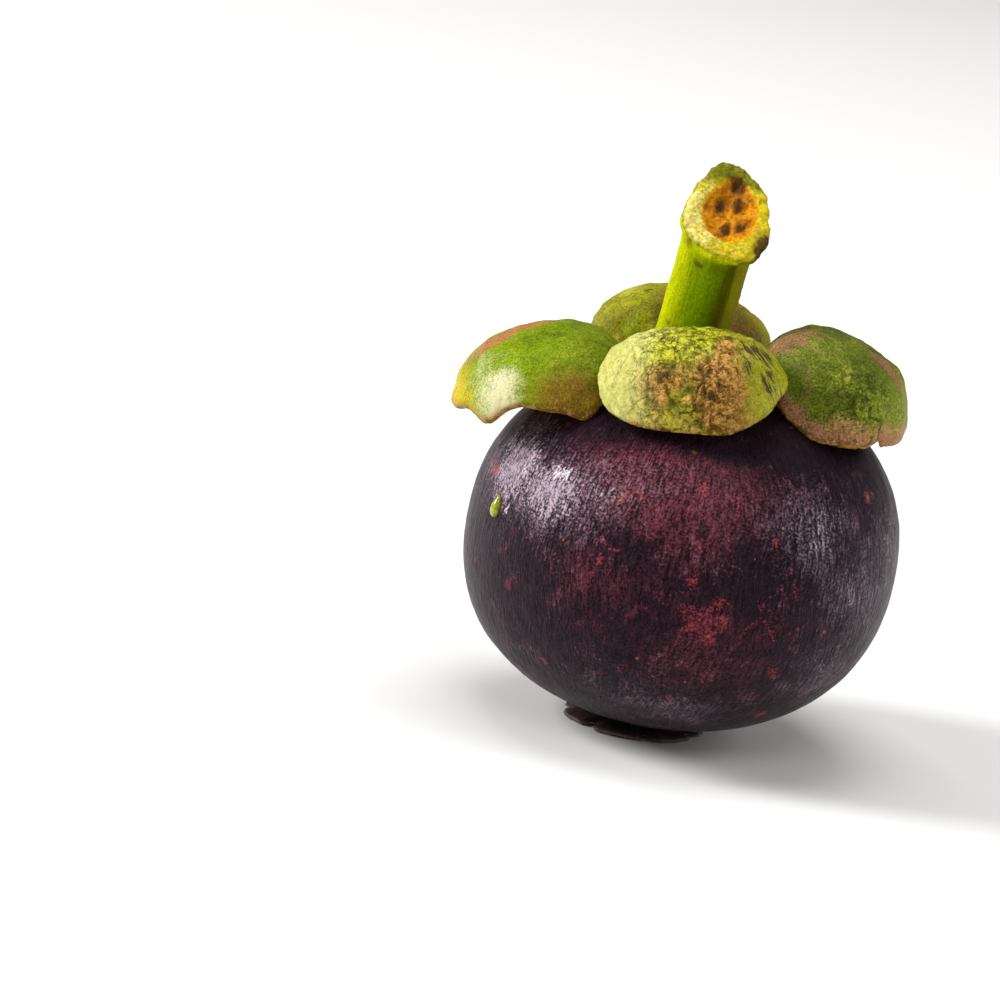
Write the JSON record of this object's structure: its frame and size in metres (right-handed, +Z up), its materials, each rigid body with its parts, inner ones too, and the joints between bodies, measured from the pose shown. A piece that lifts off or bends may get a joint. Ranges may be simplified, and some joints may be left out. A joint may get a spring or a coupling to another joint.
{
  "type": "mangosteen fruit",
  "caption": "whole ripe mangosteen with its thick curled sepals and a cut stem, standing upright on the flat stigma rosette under it",
  "frame": {"origin": "middle of the flat underside of the stigma rosette, at the level the fruit stands on", "axes": "+Z is up, from the rosette towards the stem; the front sepal is towards -Y, the back one towards +Y, the left one towards -X and the right one towards +X"},
  "size_m": [0.0657, 0.061, 0.0805],
  "materials": {
    "rind": "satin near-black purple skin",
    "rosette": "dry corky purple-brown",
    "stem": "smooth fresh green bark, cut across at the top",
    "sepal": "finely wrinkled waxy green",
    "latex": "glossy dried resin"
  },
  "bodies": {
    "root": {"rind": "rind", "stigma_rosette": "rosette", "stem": "stem", "sepal_front": "sepal", "sepal_right": "sepal", "sepal_back": "sepal", "sepal_left": "sepal", "latex_bead": "latex"}
  },
  "joints": []
}
